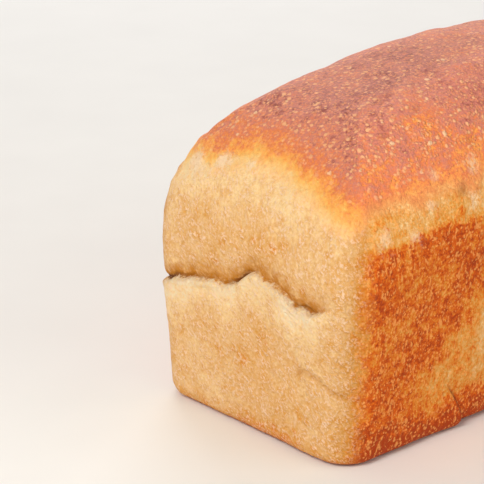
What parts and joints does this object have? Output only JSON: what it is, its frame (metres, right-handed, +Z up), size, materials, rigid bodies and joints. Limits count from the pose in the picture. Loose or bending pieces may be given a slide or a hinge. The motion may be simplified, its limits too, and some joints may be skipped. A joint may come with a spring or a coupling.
{
  "type": "tin loaf of bread",
  "caption": "Tin loaf of bread: flat base, tapering walls with rounded corners, a broad domed crown and a crease across one end wall.",
  "frame": {"origin": "middle of the flat base, on the surface that the loaf rests on", "axes": "+X along the loaf, from its creased end to its plain end; +Y across the loaf, away from the long wall with the fold at its foot; +Z up through the crown"},
  "size_m": [0.2394, 0.117, 0.135],
  "materials": {
    "crust": "baked bread crust, dull with a faint sheen on the crown"
  },
  "bodies": {
    "root": {"loaf": "crust"}
  },
  "joints": []
}
